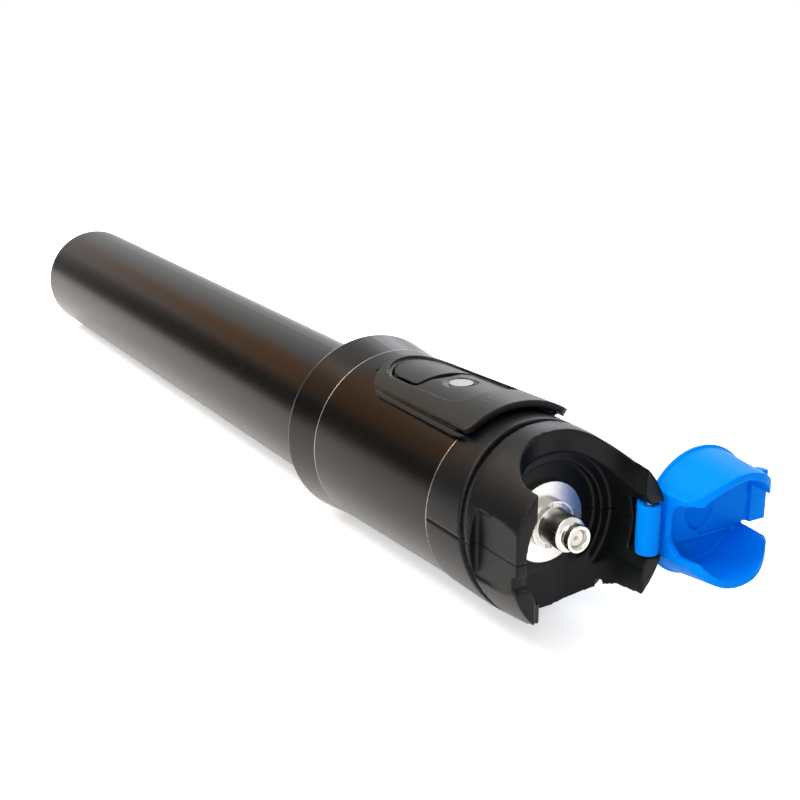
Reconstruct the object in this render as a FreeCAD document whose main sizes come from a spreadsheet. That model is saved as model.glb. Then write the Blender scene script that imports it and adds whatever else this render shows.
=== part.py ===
"""Visual fault locator: a pen-shaped red-light tester for optical fibre.

The origin is the mouth of the 2.5 mm port, on the axis of the head. Y runs
along the pen towards its tail, Z rises through the switch pad and X points
to the hinge of the dust cap. All sizes are in millimetres.
"""
import FreeCAD, Part
import Sketcher
import math
import os

from FreeCAD import Placement, Rotation, Vector

SIZES = {
    # Head, measured along the pen from the mouth of the port
    "nose_reach": 2.45,
    "ear_inset": 0.57,
    "ring_step": 0.18,
    "ring_end": 15.3,
    "nose_spigot": 6.0,
    "groove_back": 6.9,
    "groove_tilt": 12.2,
    "groove_width": 0.9,
    "groove_depth": 0.7,
    "pocket_radius": 9.5,
    "shelf_back": 5.9,
    "lip_radius": 8.0,
    "floor_back": 7.2,
    # Scallops that open the nose above and below the port
    "scallop_half": 8.1,
    "scallop_round": 6.3,
    "top_scallop_back": 5.6,
    "low_scallop_back": 3.1,
    # Flat under the cap's thumb tab and the nail slot in the far ear
    "flat_side": 11.0,
    "flat_half": 4.4,
    "flat_back": 5.6,
    "latch_height": 1.9,
    "latch_centre": 2.55,
    "latch_depth": 0.7,
    # Barrel and collar
    "barrel_length": 28.7,
    "barrel_front_radius": 12.2,
    "barrel_rear_radius": 13.0,
    "barrel_wall": 1.15,
    "spigot_clearance": 0.05,
    "collar_length": 7.95,
    "collar_radius": 13.7,
    "collar_round": 1.2,
    "soft_corner": 0.293,
    "collar_spigot": 3.6,
    "collar_spigot_bore": 8.9,
    "thread_bore": 9.55,
    # Battery tube, with its axis below that of the head
    "tube_drop": 1.58,
    "tube_length": 125.05,
    "tube_radius": 10.5,
    "tube_bore": 7.6,
    "tube_round": 1.0,
    "end_wall": 6.6,
    "neck_radius": 9.5,
    "neck_length": 4.5,
    "shoulder_gap": 0.1,
    "seal_groove_radius": 8.5,
    "neck_lead": 0.4,
    "seal_groove_width": 1.1,
    "seal_half": 0.45,
    "seal_clearance": 0.02,
    "cell_radius": 7.25,
    "cell_length": 50.5,
    "nub_radius": 2.75,
    "nub_height": 1.3,
    "spring_wire": 0.45,
    "tail_spring_radius": 4.2,
    "tail_turns": 3,
    "contact_spring_radius": 2.2,
    "contact_turns": 2,
    "contact_spring_length": 6.4,
    "holder_depth": 3.0,
    "rivet_radius": 1.1,
    "rivet_head": 2.9,
    "rivet_head_height": 0.6,
    # Optical port
    "port_bore": 1.25,
    "sleeve_radius": 1.65,
    "sleeve_start": 2.7,
    "sleeve_length": 5.0,
    "sleeve_slit": 0.4,
    "tip_radius": 1.75,
    "tip_length": 1.3,
    "neck_waist": 1.5,
    "adapter_radius": 2.3,
    "body_start": 2.0,
    "flange_radius": 5.3,
    "flange_thickness": 0.8,
    "hub_radius": 3.15,
    "hub_height": 1.2,
    "adapter_tail": 2.0,
    # Laser module
    "module_radius": 4.5,
    "module_bore": 4.55,
    "module_length": 19.0,
    "window_radius": 1.5,
    "lens_radius": 3.0,
    "lens_thickness": 2.2,
    "lens_seat": 2.0,
    "can_radius": 2.3,
    "diode_depth": 4.6,
    "diode_can": 2.2,
    # Circuit board
    "board_edge": 1.3822,
    "board_drop": 4.75,
    "board_thickness": 1.2,
    "chip_length": 5.0,
    "chip_width": 4.0,
    "chip_height": 1.5,
    "led_radius": 1.4,
    "switch_side": 6.0,
    "switch_height": 2.6,
    # Switch pad and its controls
    "pad_front": 12.9,
    "pad_back": 2.8,
    "pad_angle": 78.0,
    "pad_front_rise": 1.75,
    "pad_rear_rise": 0.1,
    "pad_tail_length": 7.0,
    "pad_tail_half": 8.2,
    "pad_tail_radius": 8.3,
    "lip_gap": 0.57,
    "lip_seat": 15.9,
    "window_angle": 48.0,
    "window_front": 21.6,
    "window_back": 3.8,
    "plug_depth": 0.35,
    "plug_bite": 0.1,
    "recess_back": 4.7,
    "recess_length": 20.0,
    "recess_half": 4.3,
    "recess_depth": 1.15,
    "recess_front_depth": 0.12828,
    "button_half": 3.4,
    "button_length": 7.0,
    "button_ledge": 0.6,
    "button_rise": 0.55,
    "button_skirt": 1.35,
    "button_gap": 0.3,
    "plunger_radius": 1.5,
    "plunger_gap": 0.35,
    "plunger_length": 1.7,
    "button_travel": 0.6,
    "lens_back": 26.2,
    "light_rise": 0.3,
    "light_radius": 1.6,
    "light_thickness": 0.9,
    "light_dish_radius": 2.0,
    # Dust cap and its hinge
    "hinge_side": 9.4,
    "hinge_front": 1.5,
    "pin_radius": 0.5,
    "pin_half": 5.3,
    "pin_clearance": 0.05,
    "knuckle_radius": 1.45,
    "knuckle_half": 3.2,
    "notch_half": 3.5,
    "notch_side": 7.2,
    "notch_back": 1.6,
    "cap_face": 4.2,
    "cap_face_radius": 6.6,
    "cap_rim": 3.4,
    "cap_rim_radius": 8.6,
    "cap_step": 2.9,
    "cap_skirt_radius": 8.3,
    "cap_end_radius": 7.5,
    "cap_wall": 1.0,
    "cap_floor": 3.1,
    "cap_floor_radius": 6.9,
    "petal_end": 5.15,
    "petal_half": 7.9,
    "petal_round": 6.3,
    "bar_half": 3.7,
    "bar_reach": 7.0,
    "bar_front": 2.4,
    "well_radius": 2.5,
    "well_depth": 0.9,
    "hinge_wall_inner": 6.1,
    "hinge_wall_outer": 7.1,
    "hinge_wall_half": 4.3,
    "hinge_gap_half": 3.7,
    "hinge_gap_front": 0.8,
    "tab_gap_half": 3.2,
    "tab_half": 3.4,
    "tab_reach": 11.6,
    "tab_inner": 8.8,
    "tab_clearance": 0.05,
    "tab_slope": 0.6,
    "strap_wall": 1.0,
}

doc = FreeCAD.newDocument("visual_fault_locator")
sheet = doc.addObject("Spreadsheet::Sheet", "Sizes")
NODES = []


def fill_sheet():
    """Write each driving size to its own row, with its name as alias."""
    for row, (name, value) in enumerate(SIZES.items(), start=1):
        sheet.set(f"A{row}", name)
        sheet.set(f"B{row}", str(value))
        sheet.setAlias(f"B{row}", name)
    doc.recompute()


def cells(formula):
    """Turn a formula in plain size names into one that names the sheet's cells."""
    words = []
    word = ""
    for letter in str(formula) + " ":
        if letter.isalnum() or letter == "_":
            word += letter
            continue
        words.append(f"Sizes.{word}" if word in SIZES else word)
        words.append(letter)
        word = ""
    return "".join(words).strip()


def number(formula):
    """Give the present value of a formula."""
    return float(sheet.evalExpression(cells(formula)))


def bind(thing, prop, formula):
    """Tie a property to a formula of sizes."""
    thing.setExpression(prop, cells(formula))


def new_body(name):
    """Start the body of one piece."""
    body = doc.addObject("PartDesign::Body", name)
    body.Label = name
    NODES.append(body)
    return body


def start_sketch(body, name, plane, lift=None):
    """Put a sketch on one of the body's own planes, lifted along its normal."""
    sketch = body.newObject("Sketcher::SketchObject", name)
    faces = body.Origin.OriginFeatures
    face = [item for item in faces if item.Role == plane][0]
    sketch.AttachmentSupport = [(face, "")]
    sketch.MapMode = "FlatFace"
    if lift is not None:
        bind(sketch, "AttachmentOffset.Base.z", lift)
    return sketch


def arc_middle(start, end, radius):
    """Find the middle of an arc; a positive radius bulges right of the way."""
    chord = end - start
    half = chord.Length / 2
    size = abs(radius)
    sagitta = size - math.sqrt(max(size * size - half * half, 0.0))
    right = Vector(chord.y, -chord.x, 0).normalize()
    side = 1 if radius > 0 else -1
    return (start + end) * 0.5 + right * (sagitta * side)


def draw_outline(sketch, corners):
    """Draw a closed outline from corners of formulas.

    A corner (x, y) ends a straight edge, and (x, y, radius) ends an arc. The
    radius "round" is a half circle over a level chord, to the right of the way.
    """
    places = [Vector(number(c[0]), number(c[1]), 0) for c in corners]
    ends = []
    for index, corner in enumerate(corners):
        start = places[index - 1]
        end = places[index]
        if len(corner) == 2:
            edge = sketch.addGeometry(Part.LineSegment(start, end), False)
            ends.append((edge, 1, 2))
            continue
        if corner[2] == "round":
            middle = arc_middle(start, end, (end - start).Length / 2)
        else:
            middle = arc_middle(start, end, number(corner[2]))
        edge = sketch.addGeometry(Part.Arc(start, middle, end), False)
        first = sketch.getPoint(edge, 1)
        along = (first - start).Length < (first - end).Length
        ends.append((edge, 1, 2) if along else (edge, 2, 1))
    for index, corner in enumerate(corners):
        edge, _, tip = ends[index]
        following, root, _ = ends[(index + 1) % len(corners)]
        join = Sketcher.Constraint("Coincident", edge, tip, following, root)
        sketch.addConstraint(join)
        tie_point(sketch, edge, tip, corner[0], corner[1])
        if len(corner) == 3 and corner[2] == "round":
            level = Sketcher.Constraint("DistanceY", -1, 1, edge, 3, number(corner[1]))
            row = sketch.addConstraint(level)
            bind(sketch, f"Constraints[{row}]", corner[1])
        elif len(corner) == 3:
            formula = f"abs({corner[2]})"
            limit = Sketcher.Constraint("Radius", edge, number(formula))
            row = sketch.addConstraint(limit)
            bind(sketch, f"Constraints[{row}]", formula)


def tie_point(sketch, edge, point, across, up):
    """Tie a point of a sketch to its place from the origin."""
    for kind, formula in (("DistanceX", across), ("DistanceY", up)):
        tie = Sketcher.Constraint(kind, -1, 1, edge, point, number(formula))
        row = sketch.addConstraint(tie)
        bind(sketch, f"Constraints[{row}]", formula)


def draw_circle(sketch, across, up, radius):
    """Draw a circle whose centre and radius are formulas."""
    centre = Vector(number(across), number(up), 0)
    ring = Part.Circle(centre, Vector(0, 0, 1), number(radius))
    edge = sketch.addGeometry(ring, False)
    tie_point(sketch, edge, 3, across, up)
    row = sketch.addConstraint(Sketcher.Constraint("Radius", edge, number(radius)))
    bind(sketch, f"Constraints[{row}]", radius)


def turned(body, name, corners, angle="360", kind="Revolution"):
    """Turn an outline of (along, radius) about the long axis, or cut with it."""
    sketch = start_sketch(body, f"{name}_outline", "YZ_Plane")
    draw_outline(sketch, corners)
    turn = body.newObject(f"PartDesign::{kind}", name)
    turn.Profile = sketch
    turn.ReferenceAxis = (sketch, ["H_Axis"])
    turn.Midplane = angle != "360"
    bind(turn, "Angle", angle)
    return turn


def raised(body, sketch, name, length, midplane=False, reverse=False):
    """Extrude a sketch."""
    pad = body.newObject("PartDesign::Pad", name)
    pad.Profile = sketch
    pad.Midplane = midplane
    pad.Reversed = reverse
    bind(pad, "Length", length)
    return pad


def sunk(body, sketch, name, length=None, midplane=False, up=False):
    """Cut a sketch into a body, right through it when no length is given."""
    pocket = body.newObject("PartDesign::Pocket", name)
    pocket.Profile = sketch
    pocket.Midplane = midplane
    pocket.Reversed = up
    if length is None:
        pocket.Type = "ThroughAll"
    else:
        bind(pocket, "Length", length)
    return pocket


def rectangle(left, front, right, back):
    """Corners of a rectangle."""
    return [(left, front), (right, front), (right, back), (left, back)]


def axle_on(body):
    """Lower a body to the axis of the battery tube."""
    bind(body, "Placement.Base.z", "-tube_drop")


BARREL_END = "(ring_end + barrel_length)"
COLLAR_END = "(ring_end + barrel_length + collar_length)"
TUBE_END = "(ring_end + barrel_length + collar_length + tube_length)"
RING_RADIUS = "(barrel_front_radius + ring_step)"
EAR_RADIUS = "(barrel_front_radius - ear_inset)"
BARREL_BORE = "(barrel_front_radius - barrel_wall)"
SPIGOT_RADIUS = "(barrel_front_radius - barrel_wall - spigot_clearance)"
PAD_REAR = "(ring_end + barrel_length - pad_back)"
PAD_FRONT_RADIUS = "(barrel_front_radius + pad_front_rise)"
PAD_REAR_RADIUS = "(barrel_rear_radius + pad_rear_rise)"
WINDOW_REAR = "(ring_end + barrel_length - window_back)"
PLUG_RADIUS = "(barrel_front_radius - barrel_wall - plug_depth)"
RECESS_REAR = "(ring_end + barrel_length - recess_back)"
RECESS_FLOOR = "(barrel_rear_radius + pad_rear_rise - recess_depth)"
PAD_FALL = f"({PAD_FRONT_RADIUS} - {PAD_REAR_RADIUS}) / ({PAD_REAR} - pad_front)"
PAD_RISE = f"({PAD_REAR} - {RECESS_REAR} + recess_length) * {PAD_FALL}"
RECESS_TILT = f"atan(({PAD_RISE} + recess_depth - recess_front_depth) / recess_length)"
LIGHT_TOP = "((barrel_front_radius + barrel_rear_radius) / 2 + light_rise)"
LIGHT_BOTTOM = "((barrel_front_radius + barrel_rear_radius) / 2 + light_rise - light_thickness)"
BOARD_TOP = "(barrel_rear_radius + pad_rear_rise - recess_depth - board_drop)"
BEYOND = "(nose_reach + 1)"
SKIN = "barrel_front_radius + 3"


def make_nose_half(name, side):
    """One half of the moulded nose: side is 1 above the seam and -1 below it."""
    body = new_body(name)
    sign = "" if side > 0 else "-"
    profile = [
        ("-nose_reach", f"{sign}pocket_radius"),
        ("-nose_reach", f"{sign}{EAR_RADIUS}"),
        ("groove_back", f"{sign}{RING_RADIUS}"),
        ("ring_end", f"{sign}{RING_RADIUS}"),
        ("ring_end", f"{sign}{SPIGOT_RADIUS}"),
        ("ring_end + nose_spigot", f"{sign}{SPIGOT_RADIUS}"),
        ("ring_end + nose_spigot", f"{sign}module_bore"),
        ("floor_back + adapter_tail", f"{sign}module_bore"),
        ("floor_back + adapter_tail", f"{sign}adapter_radius"),
        ("floor_back", f"{sign}adapter_radius"),
        ("floor_back", f"{sign}lip_radius"),
        ("shelf_back", f"{sign}lip_radius"),
        ("shelf_back", f"{sign}pocket_radius"),
    ]
    turned(body, f"{name}_shell", profile, "180")
    cut_groove(body, name)
    reach = "top_scallop_back" if side > 0 else "low_scallop_back"
    plan = start_sketch(body, f"{name}_scallop_plan", "XY_Plane")
    draw_outline(plan, [
        ("-scallop_half", f"-{BEYOND}"),
        ("-scallop_half", f"{reach} - scallop_round"),
        ("scallop_round - scallop_half", reach, "-scallop_round"),
        ("scallop_half - scallop_round", reach),
        ("scallop_half", f"{reach} - scallop_round", "-scallop_round"),
        ("scallop_half", f"-{BEYOND}"),
    ])
    sunk(body, plan, f"{name}_scallop", up=side > 0)
    flat = start_sketch(body, f"{name}_flat_plan", "XY_Plane")
    draw_outline(flat, rectangle(f"-({SKIN})", f"-{BEYOND}", "-flat_side", "flat_back"))
    sunk(body, flat, f"{name}_flat", "flat_half", up=side > 0)
    notch = start_sketch(body, f"{name}_notch_plan", "XY_Plane")
    draw_outline(notch, rectangle("notch_side", f"-{BEYOND}", SKIN, "notch_back"))
    sunk(body, notch, f"{name}_notch", "notch_half", up=side > 0)
    hole = start_sketch(body, f"{name}_pin_plan", "XY_Plane")
    draw_circle(hole, "hinge_side", "-hinge_front", "pin_radius")
    sunk(body, hole, f"{name}_pin_hole", "pin_half", up=side > 0)
    if side < 0:
        cut_latch(body)


def cut_latch(body):
    """Cut the nail slot into the front of the far ear."""
    sketch = start_sketch(body, "latch_plan", "YZ_Plane")
    draw_outline(sketch, rectangle(
        f"-{BEYOND}", "-latch_centre - latch_height / 2",
        "latch_depth - nose_reach", "-latch_centre + latch_height / 2"))
    sunk(body, sketch, "latch", SKIN)


def cut_groove(body, name):
    """Turn the slanted groove between the nose and its ring."""
    sketch = start_sketch(body, f"{name}_groove_outline", "YZ_Plane")
    corners = []
    for depth, way in (("-groove_depth", -1), ("1", -1), ("1", 1), ("-groove_depth", 1)):
        out = f"({RING_RADIUS} + {depth})"
        half = f"({way} * groove_width / 2)"
        along = f"groove_back + {out} * sin(groove_tilt * 1deg) + {half} * cos(groove_tilt * 1deg)"
        up = f"{out} * cos(groove_tilt * 1deg) - {half} * sin(groove_tilt * 1deg)"
        corners.append((along, up))
    draw_outline(sketch, corners)
    start = Vector(number("groove_back"), 0, 0)
    end = Vector(number("groove_back + cos(groove_tilt * 1deg)"), number("-sin(groove_tilt * 1deg)"), 0)
    axis = sketch.addGeometry(Part.LineSegment(start, end), True)
    tie_point(sketch, axis, 1, "groove_back", "0")
    tie_point(sketch, axis, 2, "groove_back + cos(groove_tilt * 1deg)", "-sin(groove_tilt * 1deg)")
    groove = body.newObject("PartDesign::Groove", f"{name}_groove")
    groove.Profile = sketch
    groove.ReferenceAxis = (sketch, ["Axis0"])
    groove.Angle = 360
    return groove


def make_barrel():
    """The turned barrel of the head, with a window under the switch pad."""
    body = new_body("barrel")
    turned(body, "barrel_tube", [
        ("ring_end", BARREL_BORE),
        ("ring_end", "barrel_front_radius"),
        (BARREL_END, "barrel_rear_radius"),
        (BARREL_END, BARREL_BORE),
    ])
    cut = rectangle("window_front", PLUG_RADIUS, WINDOW_REAR, PAD_FRONT_RADIUS)
    turned(body, "window", cut, "window_angle", "Groove")


def make_collar():
    """The rear collar that takes the thread of the battery tube."""
    body = new_body("collar")
    turned(body, "collar_blank", [
        (f"{BARREL_END} - collar_spigot", "0"),
        (f"{BARREL_END} - collar_spigot", SPIGOT_RADIUS),
        (BARREL_END, SPIGOT_RADIUS),
        (BARREL_END, "barrel_rear_radius"),
        (f"{COLLAR_END} - collar_round", "collar_radius"),
        (f"{COLLAR_END} - collar_round * soft_corner", "collar_radius - collar_round * soft_corner"),
        (COLLAR_END, "collar_radius - collar_round"),
        (COLLAR_END, "0"),
    ])
    thread = start_sketch(body, "thread_plan", "XZ_Plane", f"-{COLLAR_END}")
    draw_circle(thread, "0", "-tube_drop", "thread_bore")
    sunk(body, thread, "thread_bore_cut", "collar_length", up=True)
    front = start_sketch(body, "front_bore_plan", "XZ_Plane", f"-{COLLAR_END}")
    draw_circle(front, "0", "-tube_drop", "collar_spigot_bore")
    sunk(body, front, "front_bore_cut", up=True)


def make_tube():
    """The battery tube, closed at the tail and necked for the collar."""
    body = new_body("battery_tube")
    shoulder = f"({COLLAR_END} + shoulder_gap)"
    groove = f"({COLLAR_END} - neck_lead)"
    turned(body, "tube_blank", [
        (f"{COLLAR_END} - neck_length", "tube_bore"),
        (f"{COLLAR_END} - neck_length", "neck_radius"),
        (f"{groove} - seal_groove_width", "neck_radius"),
        (f"{groove} - seal_groove_width", "seal_groove_radius"),
        (groove, "seal_groove_radius"),
        (groove, "neck_radius"),
        (shoulder, "neck_radius"),
        (shoulder, "tube_radius"),
        (f"{TUBE_END} - tube_round", "tube_radius"),
        (f"{TUBE_END} - tube_round * soft_corner", "tube_radius - tube_round * soft_corner"),
        (TUBE_END, "tube_radius - tube_round"),
        (TUBE_END, "0"),
        (f"{TUBE_END} - end_wall", "0"),
        (f"{TUBE_END} - end_wall", "tube_bore"),
    ])
    axle_on(body)


def make_seal():
    """The square rubber ring in the groove of the tube's neck."""
    body = new_body("tube_seal")
    middle = f"({COLLAR_END} - neck_lead - seal_groove_width / 2)"
    turned(body, "seal_ring", rectangle(
        f"{middle} - seal_half", "seal_groove_radius + seal_clearance",
        f"{middle} + seal_half", "neck_radius"))
    axle_on(body)


def make_cell(name, start):
    """One dry cell with its positive nub towards the nose."""
    body = new_body(name)
    turned(body, f"{name}_can", [
        (start, "0"),
        (start, "nub_radius"),
        (f"{start} + nub_height", "nub_radius"),
        (f"{start} + nub_height", "cell_radius"),
        (f"{start} + cell_length", "cell_radius"),
        (f"{start} + cell_length", "0"),
    ])
    axle_on(body)


def make_spring(name, start, length, radius, turns):
    """A flat-wire coil spring on the axis of the battery tube."""
    body = new_body(name)
    sketch = start_sketch(body, f"{name}_wire_outline", "YZ_Plane")
    draw_outline(sketch, rectangle(
        start, radius, f"{start} + 2 * spring_wire", f"{radius} + 2 * spring_wire"))
    coil = body.newObject("PartDesign::AdditiveHelix", f"{name}_coil")
    coil.Profile = sketch
    coil.ReferenceAxis = (sketch, ["H_Axis"])
    coil.Mode = "height-turns-angle"
    bind(coil, "Height", f"{length} - 2 * spring_wire")
    bind(coil, "Turns", turns)
    axle_on(body)


def make_contact_holder():
    """The moulded disc that carries the front battery contact."""
    body = new_body("contact_holder")
    turned(body, "holder_disc", [
        (BARREL_END, "rivet_radius"),
        (BARREL_END, "thread_bore"),
        (f"{BARREL_END} + holder_depth", "thread_bore"),
        (f"{BARREL_END} + holder_depth", "rivet_radius"),
    ])
    axle_on(body)


def make_contact_rivet():
    """The brass rivet through the contact holder."""
    body = new_body("contact_rivet")
    head = f"({BARREL_END} + holder_depth)"
    turned(body, "rivet_blank", [
        (BARREL_END, "0"),
        (BARREL_END, "rivet_radius"),
        (head, "rivet_radius"),
        (head, "rivet_head"),
        (f"{head} + rivet_head_height", "rivet_head"),
        (f"{head} + rivet_head_height", "0"),
    ])
    axle_on(body)


def make_port():
    """The plated flange, the ferrule adapter and its split sleeve."""
    flange = new_body("port_flange")
    turned(flange, "flange_disc", [
        ("floor_back", "adapter_radius"),
        ("floor_back", "flange_radius"),
        ("floor_back - flange_thickness", "flange_radius"),
        ("floor_back - flange_thickness", "hub_radius"),
        ("floor_back - flange_thickness - hub_height", "hub_radius"),
        ("floor_back - flange_thickness - hub_height", "adapter_radius"),
    ])
    adapter = new_body("ferrule_adapter")
    sleeve_end = "(sleeve_start + sleeve_length)"
    turned(adapter, "adapter_blank", [
        ("0", "port_bore"),
        ("0", "tip_radius"),
        ("tip_length", "tip_radius"),
        ("tip_length", "neck_waist"),
        ("body_start", "neck_waist"),
        ("body_start", "adapter_radius"),
        ("floor_back + adapter_tail", "adapter_radius"),
        ("floor_back + adapter_tail", "port_bore"),
        (sleeve_end, "port_bore"),
        (sleeve_end, "sleeve_radius"),
        ("sleeve_start", "sleeve_radius"),
        ("sleeve_start", "port_bore"),
    ])
    sleeve = new_body("ferrule_sleeve")
    turned(sleeve, "sleeve_tube", [
        ("sleeve_start", "port_bore"),
        ("sleeve_start", "sleeve_radius"),
        (sleeve_end, "sleeve_radius"),
        (sleeve_end, "port_bore"),
    ])
    slit = start_sketch(sleeve, "slit_plan", "XY_Plane")
    half = "sleeve_slit / 2"
    draw_outline(slit, rectangle(f"-{half}", "sleeve_start - 1", half, f"{sleeve_end} + 1"))
    sunk(sleeve, slit, "slit", up=True)


def make_laser():
    """The brass laser module with its lens and laser diode."""
    front = "(floor_back + adapter_tail)"
    housing = new_body("laser_housing")
    seat = f"({front} + lens_seat)"
    rear = f"({front} + module_length)"
    turned(housing, "housing_blank", [
        (front, "window_radius"),
        (front, "module_radius"),
        (rear, "module_radius"),
        (rear, "lens_radius"),
        (seat, "lens_radius"),
        (seat, "window_radius"),
    ])
    lens = new_body("focus_lens")
    turned(lens, "lens_blank", [
        (seat, "0"),
        (seat, "lens_radius"),
        (f"({seat} + lens_thickness)", "lens_radius"),
        (f"({seat} + lens_thickness)", "0"),
    ])
    diode = new_body("laser_diode")
    base = f"({rear} - diode_depth)"
    turned(diode, "diode_blank", [
        (f"{base} - diode_can", "0"),
        (f"{base} - diode_can", "can_radius"),
        (base, "can_radius"),
        (base, "lens_radius"),
        (f"{rear} - diode_depth / 2", "lens_radius"),
        (f"{rear} - diode_depth / 2", "0"),
    ])


def make_block(name, middle_x, front, width, length, bottom, height):
    """A rectangular electronic part."""
    block = doc.addObject("Part::Box", name)
    block.Label = name
    bind(block, "Length", width)
    bind(block, "Width", length)
    bind(block, "Height", height)
    bind(block, "Placement.Base.x", f"{middle_x} - ({width}) / 2")
    bind(block, "Placement.Base.y", front)
    bind(block, "Placement.Base.z", bottom)
    return block


BOARD_FRONT = "(ring_end + nose_spigot)"
BOARD_REAR = "(ring_end + barrel_length - collar_spigot)"
BUTTON_MIDDLE = f"({RECESS_REAR} - button_ledge - button_length / 2)"


def make_board():
    """The circuit board, held between the nose and the collar, and its parts."""
    half = f"(sqrt({BARREL_BORE}^2 - {BOARD_TOP}^2) - board_edge)"
    board = make_block(
        "circuit_board", "0", BOARD_FRONT, f"2 * {half}",
        f"{BOARD_REAR} - {BOARD_FRONT}", f"{BOARD_TOP} - board_thickness", "board_thickness")
    NODES.append(board)
    chip = make_block(
        "driver_chip", "0", f"{BOARD_FRONT} + module_length / 2", "chip_width",
        "chip_length", f"{BOARD_TOP} - board_thickness - chip_height", "chip_height")
    NODES.append(chip)
    led = new_body("indicator_led")
    plan = start_sketch(led, "led_plan", "XY_Plane", BOARD_TOP)
    draw_circle(plan, "0", "lens_back", "led_radius")
    raised(led, plan, "led_dome", f"{LIGHT_BOTTOM} - {BOARD_TOP}")
    case = new_body("tact_switch")
    side = "switch_side / 2"
    plan = start_sketch(case, "switch_plan", "XY_Plane", BOARD_TOP)
    draw_outline(plan, rectangle(
        f"-{side}", f"{BUTTON_MIDDLE} - {side}", side, f"{BUTTON_MIDDLE} + {side}"))
    raised(case, plan, "switch_case", "switch_height")
    hole = start_sketch(case, "plunger_plan", "XY_Plane", f"{BOARD_TOP} + switch_height")
    draw_circle(hole, "0", BUTTON_MIDDLE, "plunger_radius + plunger_gap")
    sunk(case, hole, "plunger_bore", "plunger_length + button_travel")


def tilted_sketch(body, name, drop="0"):
    """Put a sketch on the slanting floor of the pad's recess, or below it."""
    sketch = start_sketch(body, name, "XY_Plane")
    turn = Rotation(Vector(1, 0, 0), number(RECESS_TILT))
    sketch.AttachmentOffset = Placement(Vector(0, 0, 0), turn)
    bind(sketch, "AttachmentOffset.Rotation.Angle", f"-{RECESS_TILT}")
    bind(sketch, "AttachmentOffset.Base.y", f"{RECESS_REAR} - ({drop}) * sin({RECESS_TILT})")
    bind(sketch, "AttachmentOffset.Base.z", f"{RECESS_FLOOR} - ({drop}) * cos({RECESS_TILT})")
    return sketch


def button_outline(sketch, extra):
    """Draw the button's outline, grown by an extra margin."""
    half = f"(button_half + {extra})"
    rear = f"(-button_ledge + {extra})"
    front = f"(-button_ledge - button_length - {extra})"
    draw_outline(sketch, [
        (f"-{half}", front),
        (half, front),
        (half, f"{rear} - {half}"),
        (f"-{half}", f"{rear} - {half}", "round"),
    ])


def barrel_radius(place):
    """Give the outer radius of the tapered barrel at a place along the pen."""
    slope = "(barrel_rear_radius - barrel_front_radius) / barrel_length"
    return f"(barrel_front_radius + ({place} - ring_end) * {slope})"


def make_pad():
    """The raised switch pad over the barrel's window, with its dished recess."""
    body = new_body("switch_pad")
    turned(body, "saddle", [
        ("pad_front", f"{RING_RADIUS} + lip_gap"),
        ("lip_seat", f"{RING_RADIUS} + lip_gap"),
        ("lip_seat", barrel_radius("lip_seat")),
        (PAD_REAR, barrel_radius(PAD_REAR)),
        (PAD_REAR, PAD_REAR_RADIUS),
        ("pad_front", PAD_FRONT_RADIUS),
    ], "pad_angle")
    turned(body, "plug", [
        ("window_front", PLUG_RADIUS),
        ("window_front", barrel_radius("window_front") + " + plug_bite"),
        (WINDOW_REAR, barrel_radius(WINDOW_REAR) + " + plug_bite"),
        (WINDOW_REAR, PLUG_RADIUS),
    ], "window_angle")
    tail = start_sketch(body, "tail_plan", "XY_Plane")
    edge = PAD_FRONT_RADIUS
    tail_start = f"{PAD_REAR} - pad_tail_length"
    draw_outline(tail, [
        (f"-{edge}", tail_start),
        ("-pad_tail_half", tail_start),
        ("pad_tail_half", tail_start, "-pad_tail_radius"),
        (edge, tail_start),
        (edge, f"{PAD_REAR} + 2"),
        (f"-{edge}", f"{PAD_REAR} + 2"),
    ])
    sunk(body, tail, "tail_trim", up=True)
    dish = tilted_sketch(body, "recess_outline")
    draw_outline(dish, [
        ("-recess_half", "recess_half - recess_length"),
        ("recess_half", "recess_half - recess_length", "round"),
        ("recess_half", "-recess_half"),
        ("-recess_half", "-recess_half", "round"),
    ])
    sunk(body, dish, "recess", up=True)
    well = tilted_sketch(body, "button_well_outline")
    button_outline(well, "button_gap")
    sunk(body, well, "button_well")
    hole = start_sketch(body, "light_plan", "XY_Plane")
    draw_circle(hole, "0", "lens_back", "light_radius")
    sunk(body, hole, "light_hole", up=True)
    dish = start_sketch(body, "light_dish_plan", "XY_Plane", LIGHT_TOP)
    draw_circle(dish, "0", "lens_back", "light_dish_radius")
    sunk(body, dish, "light_dish", up=True)


def make_controls():
    """The button, its plunger and the indicator window."""
    button = new_body("power_button")
    foot = tilted_sketch(button, "button_outline", "button_skirt")
    button_outline(foot, "0")
    raised(button, foot, "button_cap", "button_skirt + button_rise")
    plunger = new_body("switch_plunger")
    slot = tilted_sketch(plunger, "plunger_outline", "button_skirt")
    draw_circle(slot, "0", "-button_ledge - button_length / 2", "plunger_radius")
    raised(plunger, slot, "plunger_stem", "plunger_length", reverse=True)
    window = new_body("indicator_lens")
    plan = start_sketch(window, "window_light_plan", "XY_Plane", LIGHT_BOTTOM)
    draw_circle(plan, "0", "lens_back", "light_radius")
    raised(window, plan, "window_disc", "light_thickness")


def make_pin():
    """The steel pin of the cap's hinge, held in both halves of the nose."""
    pin = doc.addObject("Part::Cylinder", "hinge_pin")
    pin.Label = "hinge_pin"
    bind(pin, "Radius", "pin_radius")
    bind(pin, "Height", "2 * pin_half")
    bind(pin, "Placement.Base.x", "hinge_side")
    bind(pin, "Placement.Base.y", "-hinge_front")
    bind(pin, "Placement.Base.z", "-pin_half")
    NODES.append(pin)


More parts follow.
